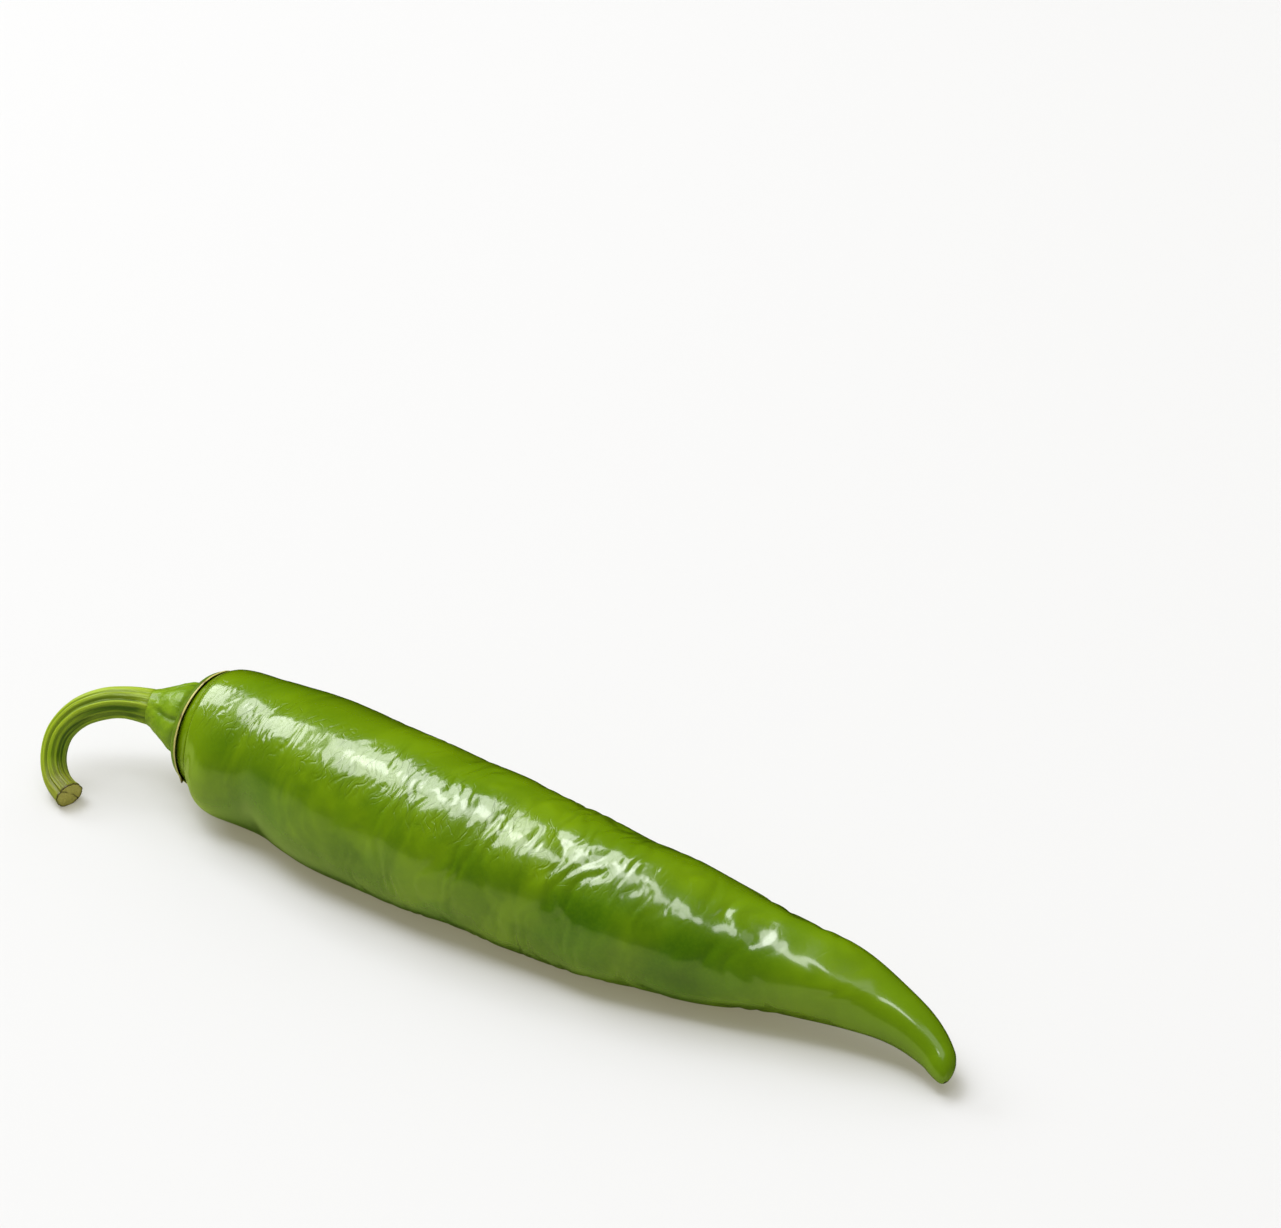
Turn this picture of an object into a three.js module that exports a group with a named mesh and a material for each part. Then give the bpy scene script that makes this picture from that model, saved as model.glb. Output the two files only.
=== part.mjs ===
// Long green chilli pepper lying on its side: the pod, the calyx that caps its
// broad end, and the hooked stem. Millimetres, +Z up, the pod runs along X with
// its tip at +X and the cut stem at -X. Everything rests on the plane z = 0.

import * as THREE from 'three';

// ---- driving dimensions (mm) ----------------------------------------------

const POD_LENGTH = 133.7;      // from the seat under the calyx to the tip
const POD_DIAMETER = 26;       // at the fullest section
const POD_SWAY = 10;           // how far the tail swings sideways
const POD_LOBING = 0.012;      // depth of the three soft lobes, share of radius

const CALYX_DIAMETER = 17.4;   // rim of the calyx
const CALYX_RIM = 0.55;        // thickness of its thin rim
const CALYX_LOBING = 0.055;    // five swellings of the receptacle

const NECK_DIAMETER = 5.8;     // where the receptacle meets the stem
const STEM_DIAMETER = 4.3;     // the stem along its arch
const STEM_RIDGING = 0.045;    // five ridges along the stem
const ARCH_RISE = 1.7;         // top of the stem's arch above the seat
const HOOK_REACH = 12.0;       // sets how far the hook stands out from the pod

const SEAT_MARGIN = 0.2;       // the rim stands this far out past the pod's seat
const JOINT_GAP = 0.3;         // parting between pieces that touch

const POD_SIDES = 36;
const POD_RINGS_PER_SPAN = 3;
const CALYX_SIDES = 40;
const STEM_SIDES = 30;
const STEM_RINGS = 28;

// ---- the pod's form --------------------------------------------------------

// Shoulder stations, from the seat outward: [distance from the seat, share of
// sway, share of the way from the seat's radius to the full radius, centre
// height as a share of the full radius].
const SHOULDER_STATIONS = [
  [0.0, -0.04, 0.00, 0.960],
  [0.8, -0.03, 0.18, 0.957],
  [2.4, 0.00, 0.38, 0.952],
  [5.4, 0.04, 0.59, 0.944],
];

// Stations from the shoulder to the tip: [share of length, share of sway,
// radius and centre height as shares of the full radius]. Where the centre is
// lower than the radius, the belly is flat.
const BODY_STATIONS = [
  [0.071, 0.04, 0.910, 0.916],
  [0.127, 0.07, 0.930, 0.900],
  [0.177, 0.00, 0.978, 0.945],
  [0.228, -0.05, 1.000, 0.967],
  [0.313, 0.00, 0.984, 0.948],
  [0.414, 0.06, 0.955, 0.920],
  [0.510, 0.19, 0.902, 0.868],
  [0.586, 0.29, 0.863, 0.832],
  [0.652, 0.41, 0.793, 0.798],
  [0.722, 0.60, 0.683, 0.755],
  [0.788, 0.80, 0.568, 0.728],
  [0.854, 0.91, 0.448, 0.670],
  [0.904, 0.98, 0.348, 0.590],
  [0.946, 0.95, 0.275, 0.480],
  [0.978, 0.83, 0.200, 0.365],
  [0.993, 0.69, 0.145, 0.290],
  [1.000, 0.58, 0.000, 0.235],
];

// ---- the stem's form -------------------------------------------------------

// Line of the calyx and stem past the seat, to the cut end: [back from the
// seat, sideways] as shares of the hook's reach, and how far down it is on the
// way from the top of the arch (0) to lying on the surface (1).
const STEM_LINE = [
  [0.46, -0.10, 0.09],
  [0.81, -0.21, 0.04],
  [1.11, -0.38, 0.00],
  [1.34, -0.54, 0.03],
  [1.61, -0.74, 0.18],
  [1.77, -0.96, 0.43],
  [1.75, -1.14, 0.72],
  [1.57, -1.28, 0.92],
  [1.27, -1.37, 1.01],
];

// Share of the stem's radius at each point of the line past the neck, where
// the stem is as thick as the neck.
const STEM_GIRTH = [1.18, 1.17, 1.10, 1.00, 0.95, 0.97, 1.00];

// Calyx profile: [share of the way from seat to neck, radius in mm].
const CALYX_PROFILE = [
  [0.125, CALYX_DIAMETER * 0.466],
  [0.17, CALYX_DIAMETER * 0.410],
  [0.22, CALYX_DIAMETER * 0.345],
  [0.28, CALYX_DIAMETER * 0.300],
  [0.36, CALYX_DIAMETER * 0.270],
  [0.48, CALYX_DIAMETER * 0.256],
  [0.60, CALYX_DIAMETER * 0.240],
  [0.72, CALYX_DIAMETER * 0.217],
  [0.85, NECK_DIAMETER * 0.570],
  [1.00, NECK_DIAMETER * 0.500],
];

// ---- helpers ---------------------------------------------------------------

// Closed solid from a list of rings and one pole point at each end. Rings run
// counter-clockwise seen from the far end, so the faces point outward.
function closedLoft(rings, startPole, endPole) {
  const sides = rings[0].length;
  const points = [startPole];
  for (const ring of rings) {
    points.push(...ring);
  }
  points.push(endPole);
  const at = (ring, side) => 1 + ring * sides + (side % sides);
  const last = points.length - 1;
  const faces = [];
  for (let side = 0; side < sides; side += 1) {
    faces.push(0, at(0, side + 1), at(0, side));
    for (let ring = 0; ring < rings.length - 1; ring += 1) {
      const a = at(ring, side);
      const b = at(ring, side + 1);
      const c = at(ring + 1, side + 1);
      const d = at(ring + 1, side);
      faces.push(a, b, c, a, c, d);
    }
    const end = rings.length - 1;
    faces.push(last, at(end, side), at(end, side + 1));
  }
  const geometry = new THREE.BufferGeometry();
  geometry.setFromPoints(points);
  geometry.setIndex(faces);
  geometry.computeVertexNormals();
  return geometry;
}

// Cross-section frames for centres and directions, carried without twist.
// Each frame: centre, direction of travel, and the two section axes.
function carriedFrames(centres, directions) {
  let side = new THREE.Vector3(0, 1, 0);
  return centres.map((centre, index) => {
    const along = directions[index].clone().normalize();
    side = side.clone().addScaledVector(along, -side.dot(along)).normalize();
    const over = new THREE.Vector3().crossVectors(along, side);
    return { centre, along, side, over };
  });
}

function framesAlong(curve, params) {
  return carriedFrames(
    params.map((t) => curve.getPoint(t)),
    params.map((t) => curve.getTangent(t)),
  );
}

// One ring of a section: radiusAt gives the radius for an angle.
function sectionRing(frame, sides, radiusAt) {
  const ring = [];
  for (let i = 0; i < sides; i += 1) {
    const angle = (i / sides) * Math.PI * 2;
    const radius = radiusAt(angle);
    const point = frame.centre.clone();
    point.addScaledVector(frame.side, Math.cos(angle) * radius);
    point.addScaledVector(frame.over, Math.sin(angle) * radius);
    ring.push(point);
  }
  return ring;
}

// Presses a ring flat where it would sink into the surface it lies on.
function restOnSurface(ring) {
  for (const point of ring) {
    point.z = Math.max(point.z, 0);
  }
  return ring;
}

// Mesh with its own material.
function namedMesh(name, geometry, colour, roughness) {
  const material = new THREE.MeshStandardMaterial({
    color: colour,
    roughness,
    metalness: 0,
  });
  const mesh = new THREE.Mesh(geometry, material);
  mesh.name = name;
  return mesh;
}

// ---- pod -------------------------------------------------------------------

function podStations() {
  const full = POD_DIAMETER / 2;
  const seat = CALYX_DIAMETER / 2 - SEAT_MARGIN;
  const stations = [];
  for (const [x, sway, widening, height] of SHOULDER_STATIONS) {
    const radius = seat + widening * (full - seat);
    stations.push({ x, y: sway * POD_SWAY, z: height * full, radius });
  }
  for (const [length, sway, girth, height] of BODY_STATIONS) {
    const x = length * POD_LENGTH;
    const radius = girth * full;
    stations.push({ x, y: sway * POD_SWAY, z: height * full, radius });
  }
  return stations;
}

function podSpine() {
  return new THREE.CatmullRomCurve3(
    podStations().map(({ x, y, z }) => new THREE.Vector3(x, y, z)),
  );
}

// Radius of the pod at the same params as its spine.
function podGirth() {
  return new THREE.CatmullRomCurve3(
    podStations().map(({ x, radius }) => new THREE.Vector3(x, radius, 0)),
  );
}

function buildPod() {
  const spine = podSpine();
  const girth = podGirth();
  const count = (podStations().length - 1) * POD_RINGS_PER_SPAN;
  const params = [];
  for (let i = 0; i < count; i += 1) {
    params.push(i / count);
  }
  const rings = framesAlong(spine, params).map((frame, index) => {
    const radius = girth.getPoint(params[index]).y;
    const lobes = (angle) => radius * (1 + POD_LOBING * Math.cos(3 * angle + 0.6));
    return restOnSurface(sectionRing(frame, POD_SIDES, lobes));
  });
  const geometry = closedLoft(rings, spine.getPoint(0), spine.getPoint(1));
  return namedMesh('pod', geometry, 0x5c9612, 0.25);
}

// ---- calyx and stem --------------------------------------------------------

// Line shared by the calyx and the stem. It starts at the middle of the pod's
// seat and ends where the cut end rests on the surface.
function stemCurve() {
  const seat = podSpine().getPoint(0);
  const crest = seat.z + ARCH_RISE;
  const lying = (STEM_DIAMETER / 2) * (1 + STEM_RIDGING);
  const points = [seat];
  for (const [back, sideways, down] of STEM_LINE) {
    const point = new THREE.Vector3(
      seat.x - back * HOOK_REACH,
      seat.y + sideways * HOOK_REACH,
      crest - down * (crest - lying),
    );
    points.push(point);
  }
  return new THREE.CatmullRomCurve3(points);
}

const NECK_INDEX = 2;
const NECK_PARAM = NECK_INDEX / STEM_LINE.length;

// Param step that moves a given distance along the curve near a param.
function paramStep(curve, param, distance) {
  const probe = 0.001;
  const run = curve.getPoint(param).distanceTo(curve.getPoint(param + probe));
  return (distance / run) * probe;
}

// The rim lies flat on the pod's seat; further up, the sections turn to follow
// the line of the stem.
function buildCalyx(curve) {
  const seatNormal = podSpine().getTangent(0).negate();
  const base = curve.getPoint(0).addScaledVector(seatNormal, JOINT_GAP);
  const rimTop = base.clone().addScaledVector(seatNormal, CALYX_RIM);
  const centres = [base, rimTop];
  const directions = [seatNormal, seatNormal];
  for (const [share] of CALYX_PROFILE) {
    const t = share * NECK_PARAM;
    centres.push(curve.getPoint(t));
    directions.push(seatNormal.clone().lerp(curve.getTangent(t), share));
  }
  const rimRadius = (angle) => (CALYX_DIAMETER / 2) * (1 + 0.012 * Math.cos(5 * angle));
  const radii = [(angle) => rimRadius(angle) - 0.15, rimRadius];
  for (const [share, radius] of CALYX_PROFILE) {
    const swell = CALYX_LOBING * Math.sin(Math.PI * Math.min(1, share * 1.1));
    radii.push((angle) => radius * (1 + swell * Math.cos(5 * angle + 0.9)));
  }
  const rings = carriedFrames(centres, directions).map(
    (frame, index) => sectionRing(frame, CALYX_SIDES, radii[index]),
  );
  const geometry = closedLoft(rings, base, curve.getPoint(NECK_PARAM));
  return namedMesh('calyx', geometry, 0x4b8526, 0.5);
}

function buildStem(curve) {
  const start = NECK_PARAM + paramStep(curve, NECK_PARAM, JOINT_GAP);
  const params = [];
  for (let i = 0; i < STEM_RINGS; i += 1) {
    params.push(start + ((1 - start) * i) / (STEM_RINGS - 1));
  }
  const radii = [NECK_DIAMETER / 2];
  for (const share of STEM_GIRTH) {
    radii.push((share * STEM_DIAMETER) / 2);
  }
  const girth = new THREE.CatmullRomCurve3(
    radii.map((radius, index) => new THREE.Vector3(index, radius, 0)),
  );
  const rings = framesAlong(curve, params).map((frame, index) => {
    const along = (params[index] - NECK_PARAM) / (1 - NECK_PARAM);
    const radius = girth.getPoint(along).y;
    const ridges = (angle) => radius * (1 + STEM_RIDGING * Math.cos(5 * angle + 0.9));
    return restOnSurface(sectionRing(frame, STEM_SIDES, ridges));
  });
  const geometry = closedLoft(rings, curve.getPoint(start), curve.getPoint(1));
  return namedMesh('stem', geometry, 0x6a8f2e, 0.55);
}

// ---- assembly --------------------------------------------------------------

// Moves the group so the bottom centre of its box is the origin.
function centreOnSurface(group) {
  const box = new THREE.Box3().setFromObject(group);
  const middle = box.getCenter(new THREE.Vector3());
  for (const mesh of group.children) {
    mesh.geometry.translate(-middle.x, -middle.y, -box.min.z);
  }
}

function buildChilli() {
  const group = new THREE.Group();
  group.name = 'chilli_pepper';
  const curve = stemCurve();
  group.add(buildPod());
  group.add(buildCalyx(curve));
  group.add(buildStem(curve));
  centreOnSurface(group);
  return group;
}

export default buildChilli();
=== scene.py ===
"""Looks of a long green chilli pepper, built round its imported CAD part.

The pod, the calyx and the stem are swept surfaces worked out with numpy. Each one takes its line
and its girth from the rings of the CAD node that it stands for, and adds what grows on it: folds,
wrinkles and dimples on the pod, a thin dry collar and swellings on the calyx, ridges and a cracked
cut face on the stem. All lengths are in metres unless a name ends in _mm. An angle called around
runs round a piece, in radians.
"""

import logging
import math
from dataclasses import dataclass, field
from enum import Enum

import bpy
import numpy as np
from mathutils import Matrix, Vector

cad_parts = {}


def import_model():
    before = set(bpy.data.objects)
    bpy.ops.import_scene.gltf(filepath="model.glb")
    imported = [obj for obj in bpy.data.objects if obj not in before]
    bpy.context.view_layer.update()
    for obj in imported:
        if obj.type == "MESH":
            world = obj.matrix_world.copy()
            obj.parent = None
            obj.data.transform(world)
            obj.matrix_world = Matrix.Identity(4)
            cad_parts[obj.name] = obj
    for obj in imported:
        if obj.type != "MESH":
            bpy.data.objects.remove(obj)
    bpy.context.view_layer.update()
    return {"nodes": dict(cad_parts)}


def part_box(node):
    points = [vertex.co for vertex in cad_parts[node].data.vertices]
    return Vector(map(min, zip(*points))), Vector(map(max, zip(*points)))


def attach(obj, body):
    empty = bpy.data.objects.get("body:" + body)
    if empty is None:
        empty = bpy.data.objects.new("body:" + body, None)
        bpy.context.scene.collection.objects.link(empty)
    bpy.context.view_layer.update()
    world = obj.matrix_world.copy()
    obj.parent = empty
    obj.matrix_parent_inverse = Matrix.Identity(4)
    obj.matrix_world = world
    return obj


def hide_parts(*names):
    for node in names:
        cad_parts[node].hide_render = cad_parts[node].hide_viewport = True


LOG = logging.getLogger("chilli")
MM = 0.001
TURN = 2.0 * math.pi
BLACK = (0.0, 0.0, 0.0, 1.0)

Array = np.ndarray
Node = bpy.types.Node
Socket = bpy.types.NodeSocket
Triple = tuple[float, float, float]
Pair = tuple[float, float]
Colour = tuple[float, float, float, float]


# ---- numbers on grids -------------------------------------------------------------------------


def unit(vectors: Array) -> Array:
    """Vectors scaled to length one, along the last axis."""
    return vectors / np.maximum(np.linalg.norm(vectors, axis=-1, keepdims=True), 1e-12)


def ramp(low: float, high: float, values: Array) -> Array:
    """Smooth step, t squared times (3 - 2 t): 0 at low and 1 at high, which may be below low."""
    share = np.clip((values - low) / (high - low), 0.0, 1.0)
    return share * share * (3.0 - 2.0 * share)


def bump(centre: float, width: float, values: Array) -> Array:
    """Bell curve: e to the minus half of the squared distance from centre over width."""
    return np.exp(-0.5 * ((values - centre) / width) ** 2)


def round_distance(around: Array, angle: float) -> Array:
    """Turn from an angle to each entry of around, from -pi to pi."""
    return (around - angle + math.pi) % TURN - math.pi


def ring_angles(rings: int, sides: int) -> Array:
    """Angle of every point of a grid of rings, in even steps from 0."""
    return np.broadcast_to(np.arange(sides) * TURN / sides, (rings, sides))


def to_points(values: Array, around: Array) -> Array:
    """One number per ring, given to every point of that ring."""
    return np.broadcast_to(values[:, None], around.shape)


def spokes(around: Array, side: Array, over: Array) -> Array:
    """Directions from the middle of each ring: cosine times side plus sine times over."""
    return np.cos(around)[..., None] * side[:, None] + np.sin(around)[..., None] * over[:, None]


def unrolled(along: Array, radius: Array, around: Array) -> Array:
    """Places on a straight bar of the same girth, for patterns that follow the piece."""
    return np.stack([along, radius * np.cos(around), radius * np.sin(around)], axis=-1)


def spline_through(knots: Array, values: Array, at: Array) -> Array:
    """Natural cubic spline: slope and curvature run on through every knot, no bend at the ends.

    The bends solve one linear system, in which each knot's row says that the slopes of its two
    neighbouring cubics agree.

    Args:
        knots: Rising positions.
        values: What the curve passes through, one row per knot.
        at: Positions to read.

    Returns:
        One row per entry of at, shaped as the rows of values.
    """
    gaps = np.diff(knots)
    count = len(knots)
    rows = np.arange(1, count - 1)
    system = np.zeros((count, count))
    system[0, 0] = system[-1, -1] = 1.0
    system[rows, rows - 1] = gaps[:-1]
    system[rows, rows] = 2.0 * (gaps[:-1] + gaps[1:])
    system[rows, rows + 1] = gaps[1:]
    flat = values.reshape(count, -1)
    turns = np.zeros_like(flat)
    turns[1:-1] = 6.0 * np.diff(np.diff(flat, axis=0) / gaps[:, None], axis=0)
    bends = np.linalg.solve(system, turns)
    cell = np.clip(np.searchsorted(knots, at, side="right") - 1, 0, count - 2)
    gap = gaps[cell][:, None]
    right = (at - knots[cell])[:, None]
    left = gap - right
    curve = (bends[cell] * left**3 + bends[cell + 1] * right**3) / (6.0 * gap)
    curve += (flat[cell] / gap - bends[cell] * gap / 6.0) * left
    curve += (flat[cell + 1] / gap - bends[cell + 1] * gap / 6.0) * right
    return curve.reshape((len(at),) + values.shape[1:])


def carried_frames(directions: Array) -> tuple[Array, Array]:
    """Section axes along a line, carried without twist from a first axis near +Y.

    Args:
        directions: Unit directions of travel, one per section.

    Returns:
        The side axis and the over axis of each section, where over is direction cross side.
    """
    sides = np.empty_like(directions)
    side = np.array([0.0, 1.0, 0.0])
    for index, along in enumerate(directions):
        side = side - along * np.dot(side, along)
        side = side / np.linalg.norm(side)
        sides[index] = side
    return sides, np.cross(directions, sides)


@dataclass(frozen=True)
class RippleBand:
    """Waves on a swept surface, added up.

    Attributes:
        seed: Seed of their random numbers.
        count: How many there are.
        shortest_mm: Shortest crest spacing.
        longest_mm: Longest crest spacing.
        lean_deg: Spread of the crests about running straight round the piece.
        girth_mm: Distance round the piece where the spacing holds.
    """

    seed: int
    count: int
    shortest_mm: float
    longest_mm: float
    lean_deg: float
    girth_mm: float

    def height(self, along_mm: Array, around: Array) -> Array:
        """Sum of cosines, each with its own spacing, lean and phase, and a whole number round.

        Args:
            along_mm: Distance of each point along the piece.
            around: Its angle round the piece.

        Returns:
            Heights whose usual size is 1.
        """
        random = np.random.default_rng(self.seed)
        spacing = random.uniform(self.shortest_mm, self.longest_mm, self.count)
        lean = np.radians(random.normal(0.0, self.lean_deg, self.count))
        phase = random.uniform(0.0, TURN, self.count)
        waves = TURN / spacing * np.cos(lean)
        turns = np.round(np.sin(lean) * self.girth_mm / spacing)
        total = np.zeros(np.broadcast(along_mm, around).shape)
        for wave, turn, start in zip(waves, turns, phase):
            total += np.cos(wave * along_mm + turn * around + start)
        return total / math.sqrt(self.count / 2.0)


@dataclass(frozen=True)
class CreaseBand:
    """Narrow creases with rounded swells between them, running round a swept surface.

    Attributes:
        seed: Seed of their random numbers.
        spacing_mm: Distance between creases.
        lean: How far a crease moves along the piece in one radian round it, in millimetres.
        bend: How far the creases wander, in radians of their own spacing.
        bend_mm: Least and greatest size of that wandering.
        patch_mm: Least and greatest size of the patches where they are deep or faint.
        sharp: Roundness of the bottom of a crease. A small number makes it sharper.
        girth_mm: Distance round the piece where the sizes hold.
        lean_turn: Angle about which the lean swings, in radians.
        waves: Number of waves in the wandering and in the patches.
    """

    seed: int
    spacing_mm: float
    lean: float
    bend: float
    bend_mm: Pair
    patch_mm: Pair
    sharp: float
    girth_mm: float = 80.0
    lean_turn: float = 2.4
    waves: int = 24

    def height(self, along_mm: Array, around: Array) -> Array:
        """Root of the squared sine of half the phase, faded out in patches.

        The phase is the distance along over the spacing, plus a slow random wandering. The lean
        swings to and fro once round, so that the creases meet where the circle closes.

        Args:
            along_mm: Distance of each point along the piece.
            around: Its angle round the piece.

        Returns:
            Heights from about -1 in a deep crease to 0 on the swells.
        """
        wander = RippleBand(self.seed, self.waves, *self.bend_mm, 60.0, self.girth_mm)
        patches = RippleBand(self.seed + 1, self.waves, *self.patch_mm, 60.0, self.girth_mm)
        leaning = self.lean * np.sin(around - self.lean_turn)
        phase = TURN * (along_mm + leaning) / self.spacing_mm
        phase = phase + self.bend * wander.height(along_mm, around)
        swell = np.sqrt(np.sin(phase / 2.0) ** 2 + self.sharp**2)
        return ramp(-0.9, 1.1, patches.height(along_mm, around)) * (swell - 1.0)


# ---- surfaces ---------------------------------------------------------------------------------


@dataclass
class Sweep:
    """A line with a ring of points round every station of it.

    Attributes:
        reach: Distance of each station along the line.
        centres: Middle of each ring, (stations, 3).
        offsets: Ring points from their middle, (stations, sides, 3). The first one points to
            the side axis, and they run round by the right hand about the line.
    """

    reach: Array
    centres: Array
    offsets: Array

    @classmethod
    def from_node(cls, node: bpy.types.Object, start: Triple) -> "Sweep":
        """Reads the rings back from a swept CAD node.

        The node's loose triangles are joined at equal points. Its two end points are the ones
        that the most edges meet, and each ring is one more edge away from the first of them.

        Args:
            node: The CAD node.
            start: A place near the end where the sweep starts.

        Returns:
            The sweep, with an end point that stands clear of its ring as a ring of no size.
        """
        mesh = node.data
        raw = np.empty(len(mesh.vertices) * 3)
        mesh.vertices.foreach_get("co", raw)
        raw = raw.reshape(-1, 3)
        microns = np.round(raw * 1e6).astype(np.int64)
        _, first, joined = np.unique(microns, axis=0, return_index=True, return_inverse=True)
        points = raw[first]
        loops = np.empty(len(mesh.loops), dtype=np.int64)
        mesh.loops.foreach_get("vertex_index", loops)
        faces = joined.reshape(-1)[loops].reshape(-1, 3)
        edges = np.concatenate([faces[:, [0, 1]], faces[:, [1, 2]], faces[:, [2, 0]]])
        poles = np.argsort(np.bincount(edges[:, 0], minlength=len(points)))[-2:]
        away = np.linalg.norm(points[poles] - np.array(start), axis=1)
        pole, far_pole = poles[np.argsort(away)]
        level = np.full(len(points), -1)
        level[pole] = step = 0
        while (level < 0).any():
            reached = edges[level[edges[:, 0]] == step][:, 1]
            level[reached[level[reached] < 0]] = step + 1
            step += 1
        rings = [points[level == ring] for ring in range(1, level[far_pole])]
        return cls.from_rings(points[pole], rings, points[far_pole])

    @classmethod
    def from_rings(cls, start: Array, rings: list[Array], end: Array) -> "Sweep":
        """Orders loose rings by angle about the line through their middles.

        Args:
            start: First end point.
            rings: Unordered points of each ring.
            end: Last end point.

        Returns:
            The ordered sweep. An end point in the plane of its ring is left out.
        """
        loose = np.stack(rings)
        middles = loose.mean(axis=1)
        side, over = carried_frames(unit(np.gradient(middles, axis=0)))
        out = loose - middles[:, None]
        angle = np.arctan2(np.einsum("nsk,nk->ns", out, over), np.einsum("nsk,nk->ns", out, side))
        half_step = math.pi / loose.shape[1]
        order = np.argsort((angle + half_step) % TURN, axis=1)
        offsets = np.take_along_axis(out, order[..., None], axis=1)
        empty = np.zeros((1,) + offsets.shape[1:])
        centres = np.concatenate([start[None], middles, end[None]])
        offsets = np.concatenate([empty, offsets, empty])
        gaps = np.linalg.norm(np.diff(centres, axis=0), axis=1)
        first, last = int(gaps[0] < 1e-5), len(centres) - int(gaps[-1] < 1e-5)
        reach = np.concatenate([[0.0], np.cumsum(gaps)])
        return cls(reach[first:last], centres[first:last], offsets[first:last])

    def girth_radius(self) -> Array:
        """Mean distance of each ring's points from its middle."""
        return np.linalg.norm(self.offsets, axis=2).mean(axis=1)

    def points(self) -> Array:
        """Ring points in place, (stations, sides, 3)."""
        return self.centres[:, None] + self.offsets

    def finer(self, reach: Array, sides: int) -> "Sweep":
        """The same surface on more stations and more sides.

        Round each ring the points are read from its Fourier series, and along the line from
        natural cubic splines.

        Args:
            reach: Stations to read, as distances along the line.
            sides: Points round each ring.

        Returns:
            The finer sweep.
        """
        spectrum = np.fft.rfft(self.offsets, axis=1)
        round_ring = np.fft.irfft(spectrum, n=sides, axis=1) * (sides / self.offsets.shape[1])
        centres = spline_through(self.reach, self.centres, reach)
        return Sweep(reach, centres, spline_through(self.reach, round_ring, reach))

    def eased(self, width: float) -> "Sweep":
        """The same sweep with its girth averaged along the line.

        Each station weighs its neighbours by the bell curve of their distance. Near the two ends
        it keeps its own girth.

        Args:
            width: Standard width of the bell.

        Returns:
            The smoother sweep.
        """
        weight = bump(0.0, width, self.reach[:, None] - self.reach[None])
        weight = weight * np.gradient(self.reach)[None]
        weight = weight / weight.sum(axis=1, keepdims=True)
        flat = self.offsets.reshape(len(self.reach), -1)
        mean = (weight @ flat).reshape(self.offsets.shape)
        end = self.reach[-1]
        share = ramp(0.0, 3.0 * width, self.reach) * ramp(end, end - 5.0 * width, self.reach)
        offsets = self.offsets + (mean - self.offsets) * share[:, None, None]
        return Sweep(self.reach, self.centres, offsets)


def grid_normals(points: Array) -> Array:
    """Outward unit normals of a tube-like grid: the way round crossed with the way along."""
    round_way = np.roll(points, -1, axis=1) - np.roll(points, 1, axis=1)
    return unit(np.cross(round_way, np.gradient(points, axis=0)))


@dataclass
class Skin:
    """A closed tube-like surface on a grid, with what the finish reads at its points.

    Attributes:
        name: Name of the finished piece.
        points: Grid of (stations, sides, 3). The first and last ring are closed by a point each.
        flow: Places that patterns follow, (stations, sides, 3).
        marks: Named masks, (stations, sides).
    """

    name: str
    points: Array
    flow: Array
    marks: dict[str, Array]

    def build(self, finish: bpy.types.Material) -> bpy.types.Object:
        """Makes the mesh: quads between rings, and triangles to the mean of each end ring.

        What would sink into the floor is pressed flat on it.

        Args:
            finish: Material of the piece.

        Returns:
            The finished object, at the origin.
        """
        stations, sides, _ = self.points.shape
        at = np.arange(stations * sides).reshape(stations, sides)
        beside = np.roll(at, -1, axis=1)
        quads = np.stack([at[:-1], beside[:-1], beside[1:], at[1:]], axis=-1).reshape(-1, 4)
        first, last = np.full(sides, stations * sides), np.full(sides, stations * sides + 1)
        start_fan = np.stack([first, beside[0], at[0]], axis=-1)
        end_fan = np.stack([last, at[-1], beside[-1]], axis=-1)
        vertices = self.with_ends(self.points)
        vertices[:, 2] = np.maximum(vertices[:, 2], 0.0)
        faces = quads.tolist() + start_fan.tolist() + end_fan.tolist()
        mesh = bpy.data.meshes.new(self.name)
        mesh.from_pydata(vertices.tolist(), [], faces)
        mesh.polygons.foreach_set("use_smooth", np.ones(len(faces), dtype=bool))
        for name, values in {**self.marks, "flow": self.flow}.items():
            kind, slot = ("FLOAT", "value") if values.ndim == 2 else ("FLOAT_VECTOR", "vector")
            layer = mesh.attributes.new(name, kind, "POINT")
            full = self.with_ends(values).astype(np.float32)
            layer.data.foreach_set(slot, full.reshape(-1))
        mesh.materials.append(finish)
        mesh.update()
        piece = bpy.data.objects.new(self.name, mesh)
        bpy.context.scene.collection.objects.link(piece)
        LOG.info("%s: %d points, %d faces", self.name, len(vertices), len(faces))
        return piece

    @staticmethod
    def with_ends(values: Array) -> Array:
        """Flattens a grid to one row per point, and adds the mean of its first and last ring."""
        ends = np.stack([values[0].mean(axis=0), values[-1].mean(axis=0)])
        return np.concatenate([values.reshape((-1,) + values.shape[2:]), ends])


# ---- node trees -------------------------------------------------------------------------------


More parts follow.
